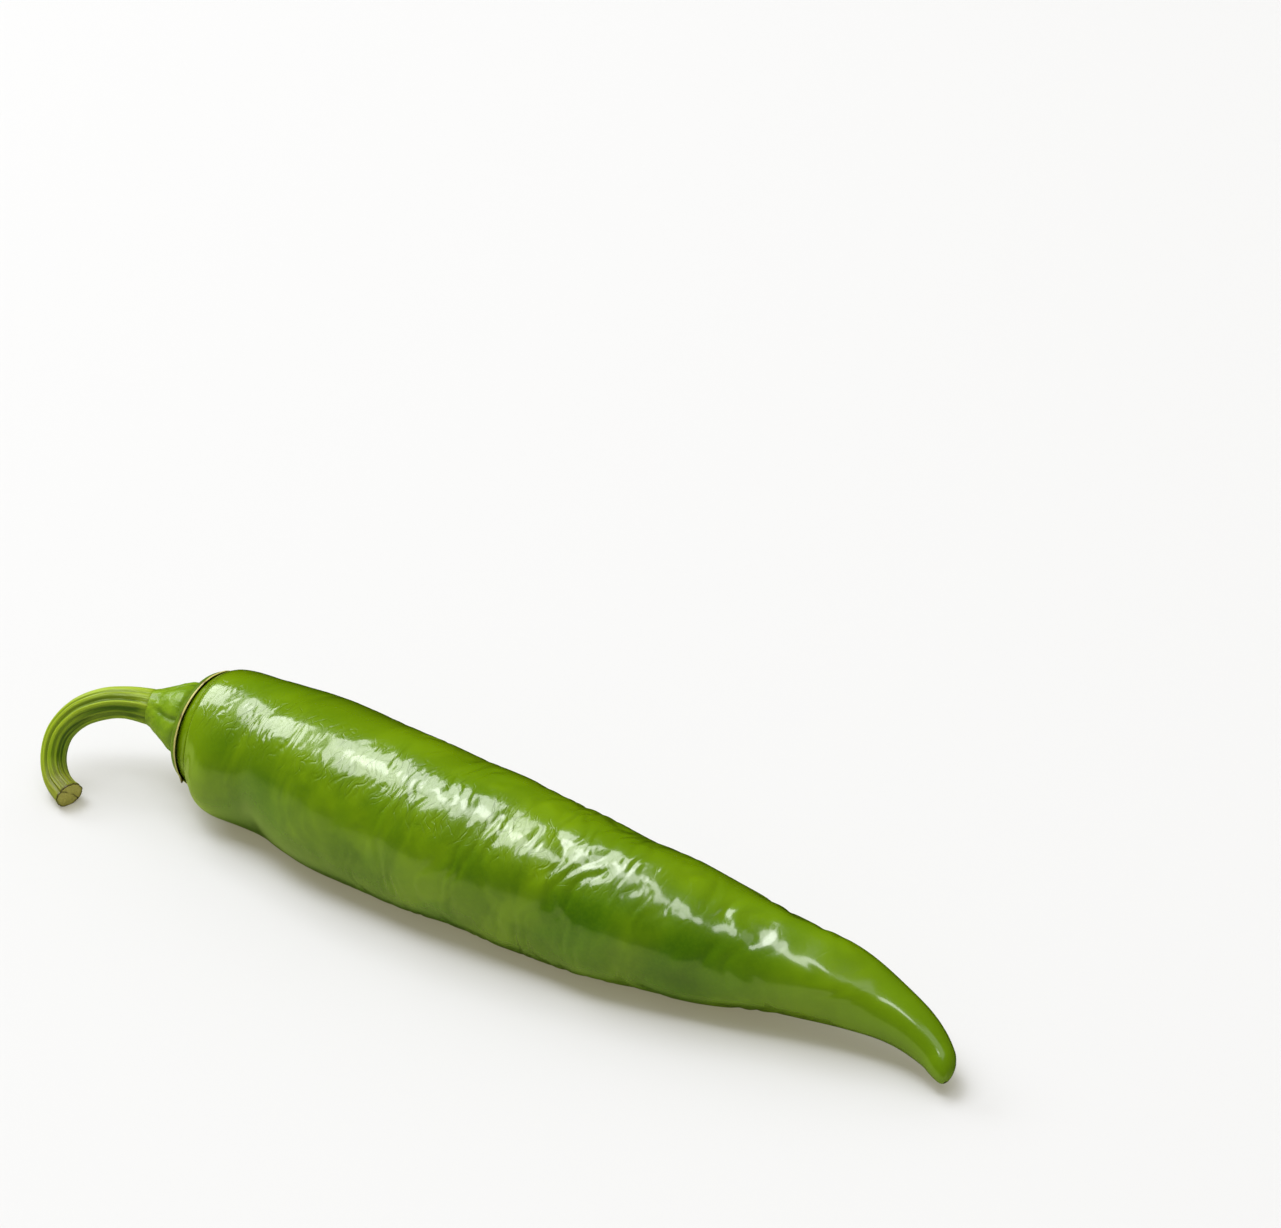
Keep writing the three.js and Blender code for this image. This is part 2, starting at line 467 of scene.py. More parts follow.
@dataclass
class Bench:
    """Places and wires the nodes of one node tree.

    Attributes:
        tree: The tree.
    """

    tree: bpy.types.NodeTree

    def feed(self, node: Node, inputs: dict) -> None:
        """Fills a node's inputs.

        Args:
            node: The node.
            inputs: Value or socket for each input, by name or number.
        """
        for name, value in inputs.items():
            if isinstance(value, Socket):
                self.tree.links.new(value, node.inputs[name])
            else:
                node.inputs[name].default_value = value

    def put(self, kind: str, inputs: dict | None = None, **settings: object) -> Node:
        """Adds a node.

        Args:
            kind: Node type, such as "ShaderNodeMath".
            inputs: Value or socket for each input, by name or number.
            settings: Properties of the node.

        Returns:
            The node.
        """
        node = self.tree.nodes.new(kind)
        for name, value in settings.items():
            setattr(node, name, value)
        self.feed(node, inputs or {})
        return node

    def math(self, operation: str, *values: object) -> Socket:
        """Works out numbers or sockets, in order, with a Math node."""
        return self.put("ShaderNodeMath", dict(enumerate(values)), operation=operation).outputs[0]

    def fit(
        self, value: object, low: object, high: object, to_low: float = 0.0, to_high: float = 1.0
    ) -> Socket:
        """Maps a range of a value smoothly onto another range.

        Args:
            value: The value's socket.
            low: Start of its range, a number or a socket.
            high: End of its range, a number or a socket.
            to_low: Result at low.
            to_high: Result at high.

        Returns:
            The result socket.
        """
        names = ("Value", "From Min", "From Max", "To Min", "To Max")
        inputs = dict(zip(names, (value, low, high, to_low, to_high)))
        node = self.put("ShaderNodeMapRange", inputs, interpolation_type="SMOOTHSTEP")
        return node.outputs["Result"]

    def layers(self, colour: object, *coats: tuple[object, float, object]) -> Socket:
        """Lays coats of colour over a colour, in order.

        Args:
            colour: The colour at the bottom.
            coats: For each coat its mask, how strongly it covers, and its colour. A mask is a
                socket or the name of a mark, and a colour may be a socket too.

        Returns:
            The colour socket.
        """
        for mask, strength, coat in coats:
            share = self.mark(mask) if isinstance(mask, str) else mask
            if strength != 1.0:
                share = self.math("MULTIPLY", share, strength)
            node = self.put("ShaderNodeMix", {0: share, 6: colour, 7: coat}, data_type="RGBA")
            colour = node.outputs[2]
        return colour

    def noise(self, place: Socket, scale: object, detail: float, **others: float) -> Socket:
        """Adds a Noise Texture, with others among its inputs, and returns its value."""
        inputs = {"Vector": place, "Scale": scale, "Detail": detail, **others}
        return self.put("ShaderNodeTexNoise", inputs).outputs["Fac"]

    def stretch(self, place: Socket, share: Socket) -> Socket:
        """Multiplies the distance along the piece by a share, which draws a pattern out."""
        by = self.put("ShaderNodeCombineXYZ", {0: share, 1: 1.0, 2: 1.0}).outputs[0]
        return self.put("ShaderNodeVectorMath", {0: place, 1: by}, operation="MULTIPLY").outputs[0]

    def relief(self, height: Socket, strength: float, distance: float) -> Socket:
        """Adds a Bump node and returns its normal."""
        inputs = {"Height": height, "Strength": strength, "Distance": distance}
        return self.put("ShaderNodeBump", inputs).outputs["Normal"]

    def mark(self, name: str, output: str = "Fac") -> Socket:
        """Reads what the piece's mesh says under a name: a mask, or with "Vector" a place."""
        return self.put("ShaderNodeAttribute", attribute_name=name).outputs[output]


def new_group(
    name: str, takes: dict[str, float], gives: tuple[str, ...]
) -> tuple[Bench, bpy.types.NodeOutputs, Node]:
    """Starts a shader node group that takes a place and numbers, and gives numbers.

    Args:
        name: Name of the group.
        takes: Usual value of each number, by name. The place comes before them.
        gives: Names of its outputs.

    Returns:
        A bench on its tree, the sockets that it takes, and its output node.
    """
    tree = bpy.data.node_groups.new(name, "ShaderNodeTree")
    kind = "NodeSocketFloat"
    tree.interface.new_socket("Place", in_out="INPUT", socket_type="NodeSocketVector")
    for title, usual in takes.items():
        socket = tree.interface.new_socket(title, in_out="INPUT", socket_type=kind)
        socket.default_value = usual
    for title in gives:
        tree.interface.new_socket(title, in_out="OUTPUT", socket_type=kind)
    bench = Bench(tree)
    return bench, bench.put("NodeGroupInput").outputs, bench.put("NodeGroupOutput")


def mottle() -> bpy.types.NodeTree:
    """Soft cloudy patches, stretched along the piece, and fine specks: two sizes of noise.

    Returns:
        The group, with outputs Patches and Specks, both masks from 0 to 1.
    """
    takes = {"Patch Scale": 60.0, "Stretch": 0.5, "Softness": 0.12}
    bench, has, gives = new_group("chilli_mottle", takes, ("Patches", "Specks"))
    drawn = bench.stretch(has["Place"], has["Stretch"])
    broad = bench.noise(drawn, has["Patch Scale"], 3.0, Distortion=0.6)
    low = bench.math("SUBTRACT", 0.5, has["Softness"])
    high = bench.math("ADD", 0.5, has["Softness"])
    fine_scale = bench.math("MULTIPLY", has["Patch Scale"], 14.0)
    fine = bench.noise(has["Place"], fine_scale, 2.0, Roughness=0.6)
    masks = {"Patches": bench.fit(broad, low, high), "Specks": bench.fit(fine, 0.35, 0.7)}
    bench.feed(gives, masks)
    return bench.tree


def fibres() -> bpy.types.NodeTree:
    """Fine streaks that run along the piece: noise drawn out along its length.

    Returns:
        The group, with output Streaks, a mask from 0 to 1.
    """
    takes = {"Fibre Scale": 1500.0, "Draw Out": 0.06}
    bench, has, gives = new_group("chilli_fibres", takes, ("Streaks",))
    drawn = bench.stretch(has["Place"], has["Draw Out"])
    noise = bench.noise(drawn, has["Fibre Scale"], 3.0, Roughness=0.55)
    bench.feed(gives, {"Streaks": bench.fit(noise, 0.34, 0.66)})
    return bench.tree


def pores() -> bpy.types.NodeTree:
    """Tiny pits and swells of a skin: cell noise with softer noise over it.

    Returns:
        The group, with output Height, for a Bump node.
    """
    takes = {"Pore Scale": 2500.0, "Pore Depth": 0.5}
    bench, has, gives = new_group("chilli_pores", takes, ("Height",))
    inputs = {"Vector": has["Place"], "Scale": has["Pore Scale"]}
    cells = bench.put("ShaderNodeTexVoronoi", inputs).outputs["Distance"]
    half_scale = bench.math("MULTIPLY", has["Pore Scale"], 0.35)
    swell = bench.noise(has["Place"], half_scale, 2.0)
    pits = bench.math("MULTIPLY", cells, has["Pore Depth"])
    bench.feed(gives, {"Height": bench.math("ADD", pits, swell)})
    return bench.tree


def creases() -> bpy.types.NodeTree:
    """Fine crescent creases: rows across the piece, bent to and fro by noise, in patches.

    Returns:
        The group, with output Height, from -1 at the bottom of a crease to 0 beside it.
    """
    takes = {"Rows": 600.0, "Bend": 3.0, "Bend Scale": 260.0, "Patch Scale": 180.0, "Width": 0.13}
    bench, has, gives = new_group("chilli_creases", takes, ("Height",))
    along = bench.put("ShaderNodeSeparateXYZ", {0: has["Place"]}).outputs[0]
    wander = bench.noise(has["Place"], has["Bend Scale"], 1.0)
    bend = bench.math("MULTIPLY", wander, has["Bend"])
    rows = bench.math("MULTIPLY_ADD", along, has["Rows"], bend)
    groove = bench.fit(bench.math("PINGPONG", rows, 0.5), 0.0, has["Width"], -1.0, 0.0)
    cloud = bench.noise(has["Place"], has["Patch Scale"], 2.0)
    height = bench.math("MULTIPLY", groove, bench.fit(cloud, 0.32, 0.54))
    bench.feed(gives, {"Height": height})
    return bench.tree


class Effect(Enum):
    """Shared effects that the finishes place, each with the function that builds its group."""

    MOTTLE = (mottle,)
    FIBRES = (fibres,)
    PORES = (pores,)
    CREASES = (creases,)


class Effects:
    """The shared shader node groups, each built once."""

    def __init__(self) -> None:
        """Builds every group."""
        self.trees = {effect: effect.value[0]() for effect in Effect}

    def place(
        self, bench: Bench, effect: Effect, place: Socket, *values: float
    ) -> bpy.types.NodeOutputs:
        """Places a group in a material.

        Args:
            bench: Bench of the material.
            effect: Which group.
            place: Places that its pattern follows.
            values: Its numbers, in the order in which the group takes them.

        Returns:
            The group node's outputs.
        """
        inputs = dict(enumerate((place,) + values))
        return bench.put("ShaderNodeGroup", inputs, node_tree=self.trees[effect]).outputs


def new_material(name: str) -> tuple[bpy.types.Material, Bench, Node]:
    """Starts a material with one Principled shader.

    Args:
        name: Name of the material.

    Returns:
        The material, a bench on its tree, and the shader.
    """
    material = bpy.data.materials.new(name)
    material.use_nodes = True
    bench = Bench(material.node_tree)
    bench.tree.nodes.clear()
    shader = bench.put("ShaderNodeBsdfPrincipled")
    bench.put("ShaderNodeOutputMaterial", {"Surface": shader.outputs["BSDF"]})
    return material, bench, shader


# ---- finishes ---------------------------------------------------------------------------------


@dataclass(frozen=True)
class Finish:
    """A skin of the pepper. Each kind says how it is painted.

    Attributes:
        name: Name of the material.
        ior: Refractive index of the skin.
    """

    name: str
    ior: float = 1.45

    def paint(self, bench: Bench, place: Socket, effects: Effects) -> dict:
        """Works out what the shader is fed.

        Args:
            bench: Bench of the material.
            place: Places that the patterns follow.
            effects: The shared node groups.

        Returns:
            Value or socket for each input of the shader, by name.
        """
        raise NotImplementedError

    def make(self, effects: Effects) -> bpy.types.Material:
        """Builds the material.

        Args:
            effects: The shared node groups.

        Returns:
            The material.
        """
        material, bench, shader = new_material(self.name)
        inputs = self.paint(bench, bench.mark("flow", "Vector"), effects)
        bench.feed(shader, {**inputs, "IOR": self.ior})
        return material


@dataclass(frozen=True)
class PodFinish(Finish):
    """Glossy waxy skin of the pod.

    Attributes:
        green: Usual colour.
        pale: Yellower colour of the lighter patches, the shoulder and the tail, and of the painted
            light on the back.
        deep: Darker green of the mottling, and of the painted shade in the dimples.
        scar: Dry brown of the scar at the tip.
        roughness: Roughness of the skin under the wax.
        specular: How strongly that skin mirrors.
        wax_roughness: Roughness of the wax.
        wax_ior: Its refractive index.
        pore_mm: Height of the pores.
        creases: Fine creases: rows to a metre, bend, scale of the bends and of the patches,
            width as a share of a row, and depth in millimetres.
    """

    name: str = "waxy_pod"
    green: Colour = (0.061, 0.153, 0.0003, 1.0)
    pale: Colour = (0.160, 0.272, 0.0006, 1.0)
    deep: Colour = (0.021, 0.076, 0.0002, 1.0)
    scar: Colour = (0.016, 0.009, 0.004, 1.0)
    roughness: float = 0.26
    specular: float = 0.35
    wax_roughness: float = 0.125
    wax_ior: float = 1.6
    pore_mm: float = 0.010
    creases: tuple[tuple[float, ...], ...] = (
        (380.0, 3.4, 210.0, 130.0, 0.13, 0.085),
        (700.0, 4.2, 330.0, 210.0, 0.18, 0.050),
        (1400.0, 3.6, 520.0, 380.0, 0.32, 0.020),
    )

    def paint(self, bench: Bench, place: Socket, effects: Effects) -> dict:
        """Mottled greens under wax, with painted light on the back, painted shade in the dimples,
        and fine creases where the skin is wrinkled.

        Args:
            bench: Bench of the material.
            place: Places that the patterns follow.
            effects: The shared node groups.

        Returns:
            Value or socket for each input of the shader, by name.
        """
        patches = effects.place(bench, Effect.MOTTLE, place, 62.0, 0.8, 0.15)
        clouds = effects.place(bench, Effect.MOTTLE, place, 150.0, 0.7, 0.2)
        blots = effects.place(bench, Effect.MOTTLE, place, 95.0, 1.5, 0.12)
        colour = bench.layers(
            self.green,
            (patches["Patches"], 0.85, self.pale),
            (blots["Patches"], 0.45, self.deep),
            (clouds["Patches"], 0.22, self.deep),
            (clouds["Specks"], 0.10, self.pale),
            # Paler shoulder and tail, with painted light on the back that faces the lights.
            ("shoulder", 1.0, self.pale),
            # Painted shade in the dimples.
            ("hollow", 1.0, self.deep),
            ("scar", 1.0, self.scar),
        )
        height_mm = 0.0
        for *sizes, depth_mm in self.creases:
            crease = effects.place(bench, Effect.CREASES, place, *sizes)
            height_mm = bench.math("MULTIPLY_ADD", crease["Height"], depth_mm, height_mm)
        height_mm = bench.math("MULTIPLY", height_mm, bench.mark("wrinkled"))
        pitted = effects.place(bench, Effect.PORES, place, 1500.0, 0.25)
        height_mm = bench.math("MULTIPLY_ADD", pitted["Height"], self.pore_mm, height_mm)
        return {
            "Base Color": colour,
            "Normal": bench.relief(height_mm, 1.0, MM),
            "Roughness": self.roughness,
            "Specular IOR Level": self.specular,
            "Coat Weight": 1.0,
            "Coat Roughness": self.wax_roughness,
            "Coat IOR": self.wax_ior,
        }


@dataclass(frozen=True)
class CalyxFinish(Finish):
    """Satin skin of the calyx, with a dry pale rim.

    Attributes:
        green: Usual colour.
        pale: Colour of the raised parts.
        deep: Darker green of the collar, and of the painted shade in the creases.
        straw: Colour of the dry rim.
        brown: Colour of the burnt line and the points of the rim.
        stalk: Colour that it turns to towards the stem.
        roughness: Roughness of the skin.
    """

    name: str = "satin_calyx"
    green: Colour = (0.128, 0.236, 0.003, 1.0)
    pale: Colour = (0.215, 0.345, 0.008, 1.0)
    deep: Colour = (0.022, 0.058, 0.002, 1.0)
    straw: Colour = (0.480, 0.430, 0.130, 1.0)
    brown: Colour = (0.085, 0.042, 0.012, 1.0)
    stalk: Colour = (0.140, 0.235, 0.004, 1.0)
    roughness: float = 0.32

    def paint(self, bench: Bench, place: Socket, effects: Effects) -> dict:
        """Streaked and mottled green, darker in the collar, with painted shade in the creases and
        the seam.

        Args:
            bench: Bench of the material.
            place: Places that the patterns follow.
            effects: The shared node groups.

        Returns:
            Value or socket for each input of the shader, by name.
        """
        patches = effects.place(bench, Effect.MOTTLE, place, 260.0, 0.6, 0.18)["Patches"]
        streaks = effects.place(bench, Effect.FIBRES, place, 1300.0, 0.12)["Streaks"]
        pitted = effects.place(bench, Effect.PORES, place, 1700.0, 0.8)["Height"]
        colour = bench.layers(
            self.green,
            (patches, 0.5, self.pale),
            (streaks, 0.25, self.pale),
            ("collar", 0.45, self.deep),
            ("neck", 1.0, bench.layers(self.stalk, (streaks, 1.0, self.pale))),
            # Painted shade in the creases between the swellings and at the seam.
            ("crease", 1.0, self.deep),
            ("rim", 1.0, self.straw),
            ("burn", 1.0, self.brown),
        )
        height = bench.math("ADD", pitted, bench.math("MULTIPLY", streaks, 0.5))
        normal = bench.relief(height, 0.22, 0.0002)
        return {"Base Color": colour, "Normal": normal, "Roughness": self.roughness}


@dataclass(frozen=True)
class StemFinish(Finish):
    """Satin ridged skin of the stem, with its straw-coloured cut face.

    Attributes:
        green: Usual colour.
        pale: Colour of the painted highlight on the ridge crests and of the painted light on the
            upper side.
        deep: Colour of the painted shade in the grooves, and of darker patches.
        tan: Colour that the skin turns to near the cut.
        straw: Colour of the cut face.
        brown: Colour of the cut face's rim and cracks.
        roughness: Roughness of the skin.
        specular: How strongly it mirrors.
    """

    name: str = "fibrous_stem"
    green: Colour = (0.165, 0.265, 0.004, 1.0)
    pale: Colour = (0.360, 0.470, 0.022, 1.0)
    deep: Colour = (0.042, 0.090, 0.002, 1.0)
    tan: Colour = (0.190, 0.170, 0.020, 1.0)
    straw: Colour = (0.430, 0.400, 0.085, 1.0)
    brown: Colour = (0.035, 0.018, 0.007, 1.0)
    roughness: float = 0.34
    specular: float = 0.3

    def paint(self, bench: Bench, place: Socket, effects: Effects) -> dict:
        """Painted shade in the grooves rising to a painted highlight on the crests, painted light
        on the upper side, streaked along, tan near the cut.

        Args:
            bench: Bench of the material.
            place: Places that the patterns follow.
            effects: The shared node groups.

        Returns:
            Value or socket for each input of the shader, by name.
        """
        patches = effects.place(bench, Effect.MOTTLE, place, 300.0, 0.4, 0.2)["Patches"]
        streaks = effects.place(bench, Effect.FIBRES, place, 1700.0, 0.05)["Streaks"]
        colour = bench.layers(
            self.deep,
            # Painted shade in the grooves, lighter ridges and a painted highlight on the crests,
            # and painted light on the upper side.
            ("ridge", 1.0, self.green),
            ("crest", 1.0, self.pale),
            (streaks, 0.35, self.pale),
            (patches, 0.25, self.deep),
            ("upper", 1.0, self.pale),
            ("dry", 1.0, self.tan),
            ("cut", 1.0, self.straw),
            ("burn", 1.0, self.brown),
        )
        return {
            "Base Color": colour,
            "Normal": bench.relief(streaks, 0.35, 0.00025),
            "Roughness": self.roughness,
            "Specular IOR Level": self.specular,
        }


# ---- the pod ----------------------------------------------------------------------------------


@dataclass(frozen=True)
class Dimple:
    """A small hollow in the pod's skin.

    Attributes:
        along_mm: Distance from the seat.
        around_deg: Angle round the pod.
        length_mm: Half length.
        width_deg: Half width.
        depth_mm: Depth, negative for a swelling.
        shade: How much painted shade darkens it, from 0 to 1.
    """

    along_mm: float
    around_deg: float
    length_mm: float
    width_deg: float
    depth_mm: float
    shade: float = 0.0


@dataclass(frozen=True)
class PodGrid:
    """Where the points of the pod's grid lie.

    Attributes:
        along_mm: Distance of each point from the seat.
        around: Its angle round the pod.
        length_mm: Length of the pod.
    """

    along_mm: Array
    around: Array
    length_mm: float

    def turn_deg(self, angle_deg: float) -> Array:
        """Degrees round the pod from an angle to each point."""
        return np.degrees(round_distance(self.around, math.radians(angle_deg)))

    def spot(self, dimple: Dimple) -> Array:
        """Mask of a dimple: a bell along the pod times a bell round it."""
        along = bump(dimple.along_mm, dimple.length_mm, self.along_mm)
        return along * bump(0.0, dimple.width_deg, self.turn_deg(dimple.around_deg))


@dataclass
class Pod:
    """The fruit body, from its seat under the calyx to the scar at its tip.

    Attributes:
        sides: Points round the pod.
        stations: Rings along it.
        tip_stations: How many of them the rounded tip has.
        tip_mm: Length of the rounded tip.
        ease_mm: Width over which the girth is averaged along the pod.
        lumps: Broad unevenness.
        folds: Folds that run part of the way round, mostly towards the tail.
        cracks: Finer folds along the middle.
        wrinkles: Fine wrinkles in the waxy skin, mostly near the shoulder.
        lump_mm: Height of the lumps.
        fold_mm: Depth of the folds.
        crack_mm: Depth of the cracks.
        wrinkle_mm: Depth of the wrinkles.
        pinch_mm: How far the shoulder is drawn in under the calyx.
        start_mm: Between these distances from the seat the unevenness sets in.
        fold_grow_mm: Between these the folds grow to their full depth.
        crack_grow_mm: Between these the cracks set in.
        crack_end_mm: Between these they fade out.
        wrinkle_calm_mm: Between these the wrinkles lose part of their depth.
        wrinkle_end_mm: Between these they fade out.
        lump_tip_mm: Between these distances from the tip the lumps fade out.
        fold_tip_mm: Between these the folds do.
        ridge_deg: Angle of the line along which the skin is wrinkled, here and opposite.
        flats: Flat places along that line: distance from the seat and depth in millimetres.
        flat_length_mm: Half length of each.
        flat_width_deg: Half width of each.
        dimples: Single hollows, and a swelling of the shoulder.
        lit_back_deg: Angle of the back that faces the lights, where painted light makes the skin
            paler and yellower.
    """

    sides: int = 156
    stations: int = 636
    tip_stations: int = 36
    tip_mm: float = 3.4
    ease_mm: float = 2.2
    lumps: RippleBand = RippleBand(11, 40, 12.0, 32.0, 55.0, 80.0)
    folds: CreaseBand = CreaseBand(29, 4.6, 2.5, 1.6, (9.0, 20.0), (9.0, 22.0), 0.26)
    cracks: CreaseBand = CreaseBand(61, 2.6, 3.0, 1.7, (4.0, 12.0), (5.0, 14.0), 0.24)
    wrinkles: CreaseBand = CreaseBand(83, 1.45, 1.5, 2.5, (2.4, 6.5), (3.0, 9.0), 0.26)
    lump_mm: float = 0.17
    fold_mm: float = 0.27
    crack_mm: float = 0.21
    wrinkle_mm: float = 0.135
    pinch_mm: float = 0.24
    start_mm: Pair = (1.5, 7.0)
    fold_grow_mm: Pair = (35.0, 80.0)
    crack_grow_mm: Pair = (28.0, 50.0)
    crack_end_mm: Pair = (78.0, 96.0)
    wrinkle_calm_mm: Pair = (38.0, 62.0)
    wrinkle_end_mm: Pair = (90.0, 112.0)
    lump_tip_mm: Pair = (18.0, 3.0)
    fold_tip_mm: Pair = (32.0, 14.0)
    ridge_deg: float = 118.0
    flats: tuple[Pair, ...] = (
        (71.5, 0.30), (78.0, 0.45), (84.0, 0.45), (90.0, 0.50), (96.5, 0.62),
        (103.0, 0.62), (109.5, 0.40), (115.5, 0.32), (121.0, 0.22),
    )  # fmt: skip
    flat_length_mm: float = 2.2
    flat_width_deg: float = 20.0
    dimples: tuple[Dimple, ...] = (
        Dimple(94.0, 190.0, 2.2, 8.0, 0.35, 0.55),
        Dimple(60.0, 200.0, 1.6, 5.0, 0.12, 0.3),
        Dimple(6.5, 228.0, 2.6, 38.0, -0.90),
    )
    lit_back_deg: float = 75.0

    def surface(self, node: bpy.types.Object) -> Skin:
        """Works out the pod's surface.

        Args:
            node: The CAD node of the pod.

        Returns:
            The skin.
        """
        low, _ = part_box("pod")
        rings = Sweep.from_node(node, tuple(low))
        length = rings.reach[-1]
        tip = self.tip_mm * MM
        body = np.linspace(0.0, length - tip, self.stations - self.tip_stations)
        quarter = np.linspace(0.0, math.pi / 2.0, self.tip_stations + 1)[1:]
        reach = np.concatenate([body, length - tip + tip * np.sin(quarter * 0.998)])
        fine = rings.finer(reach, self.sides).eased(self.ease_mm * MM)
        self.round_tip(fine, tip)
        points = fine.points()
        around = ring_angles(self.stations, self.sides)
        grid = PodGrid(to_points(reach / MM, around), around, length / MM)
        points = points + grid_normals(points) * (self.relief(grid) * MM)[..., None]
        flow = unrolled(grid.along_mm * MM, np.linalg.norm(fine.offsets, axis=2), around)
        return Skin("pod_body", points, flow, self.shades(grid))

    @staticmethod
    def round_tip(fine: Sweep, tip: float) -> None:
        """Rounds the end: the taper runs on, times the root of one less the share to the power 2.4.

        Args:
            fine: The finer sweep, changed in place.
            tip: Length of the rounded stretch.
        """
        start = np.searchsorted(fine.reach, fine.reach[-1] - tip)
        here, before = fine.girth_radius()[[start - 1, start - 9]]
        slope = (here - before) / (fine.reach[start - 1] - fine.reach[start - 9])
        past = fine.reach[start:] - fine.reach[start - 1]
        share = np.minimum(past / past[-1], 0.9999)
        wanted = (here + slope * past) * np.sqrt(1.0 - share**2.4)
        shape = fine.offsets[start - 1] / here
        fine.offsets[start:] = shape * wanted[:, None, None]

    def relief(self, grid: PodGrid) -> Array:
        """Height of the skin over the smooth pod, one kind of unevenness on another.

        Each kind is its depth times its pattern times ramps that say where it shows.

        Args:
            grid: Where the points lie.

        Returns:
            Heights in millimetres.
        """
        along_mm, around = grid.along_mm, grid.around
        left_mm = grid.length_mm - along_mm
        start = ramp(*self.start_mm, along_mm)
        lumpy = start * ramp(*self.lump_tip_mm[::-1], left_mm)
        folded = start * (0.25 + 0.75 * ramp(*self.fold_grow_mm, along_mm))
        folded = folded * ramp(*self.fold_tip_mm[::-1], left_mm)
        cracked = ramp(*self.crack_grow_mm, along_mm) * ramp(*self.crack_end_mm[::-1], along_mm)
        wrinkled = start * (0.45 + 0.55 * ramp(*self.wrinkle_calm_mm[::-1], along_mm))
        wrinkled = wrinkled * ramp(*self.wrinkle_end_mm[::-1], along_mm)
        wrinkled = wrinkled * (
            0.15 + 0.85 * ramp(38.0, 18.0, np.abs(grid.turn_deg(self.ridge_deg)))
        )
        height = -self.pinch_mm * bump(1.2, 0.8, along_mm)
        for size_mm, pattern, shown in (
            (self.lump_mm, self.lumps, lumpy),
            (self.fold_mm, self.folds, folded),
            (self.crack_mm, self.cracks, cracked),
            (self.wrinkle_mm, self.wrinkles, wrinkled),
        ):
            height = height + size_mm * pattern.height(along_mm, around) * shown
        length_mm, width_deg = self.flat_length_mm, self.flat_width_deg
        for at_mm, depth_mm in self.flats:
            flat = Dimple(at_mm, self.ridge_deg, length_mm, width_deg, depth_mm)
            height = height - depth_mm * grid.spot(flat)
        for dimple in self.dimples:
            height = height - dimple.depth_mm * grid.spot(dimple)
        return height

    def shades(self, grid: PodGrid) -> dict[str, Array]:
        """Masks for the finish: wrinkled skin, yellower parts with painted light on the back,
        painted shade in the dimples, and the tip's scar.

        Args:
            grid: Where the points lie.

        Returns:
            The masks by name.
        """
        along_mm = grid.along_mm
        facing_light = 0.5 + 0.5 * np.cos(grid.around - math.radians(self.lit_back_deg))
        from_ridge = np.abs(grid.turn_deg(self.ridge_deg))
        from_belly = np.abs(grid.turn_deg(self.ridge_deg + 180.0))
        near = ramp(31.0, 14.0, np.minimum(from_ridge, from_belly + 8.0))
        shoulder = 0.85 * ramp(15.0, 2.0, along_mm)
        # Painted light: the back that faces the lights is painted paler.
        back = 0.50 * ramp(0.55, 1.0, facing_light)
        tail = 0.55 * ramp(88.0, 118.0, along_mm)
        # Painted shade in the dimples, each as deep as its shade.
        hollows = [dimple.shade * grid.spot(dimple) for dimple in self.dimples]
        return {
            "wrinkled": 0.04 + 0.96 * near * (0.1 + 0.9 * ramp(92.0, 58.0, along_mm)),
            # Paler shoulder and tail, and painted light on the back.
            "shoulder": np.maximum.reduce([shoulder, back, tail]),
            # Painted shade in the dimples.
            "hollow": np.maximum.reduce(hollows),
            "scar": ramp(0.06, 0.02, grid.length_mm - along_mm),
        }


# ---- the calyx --------------------------------------------------------------------------------


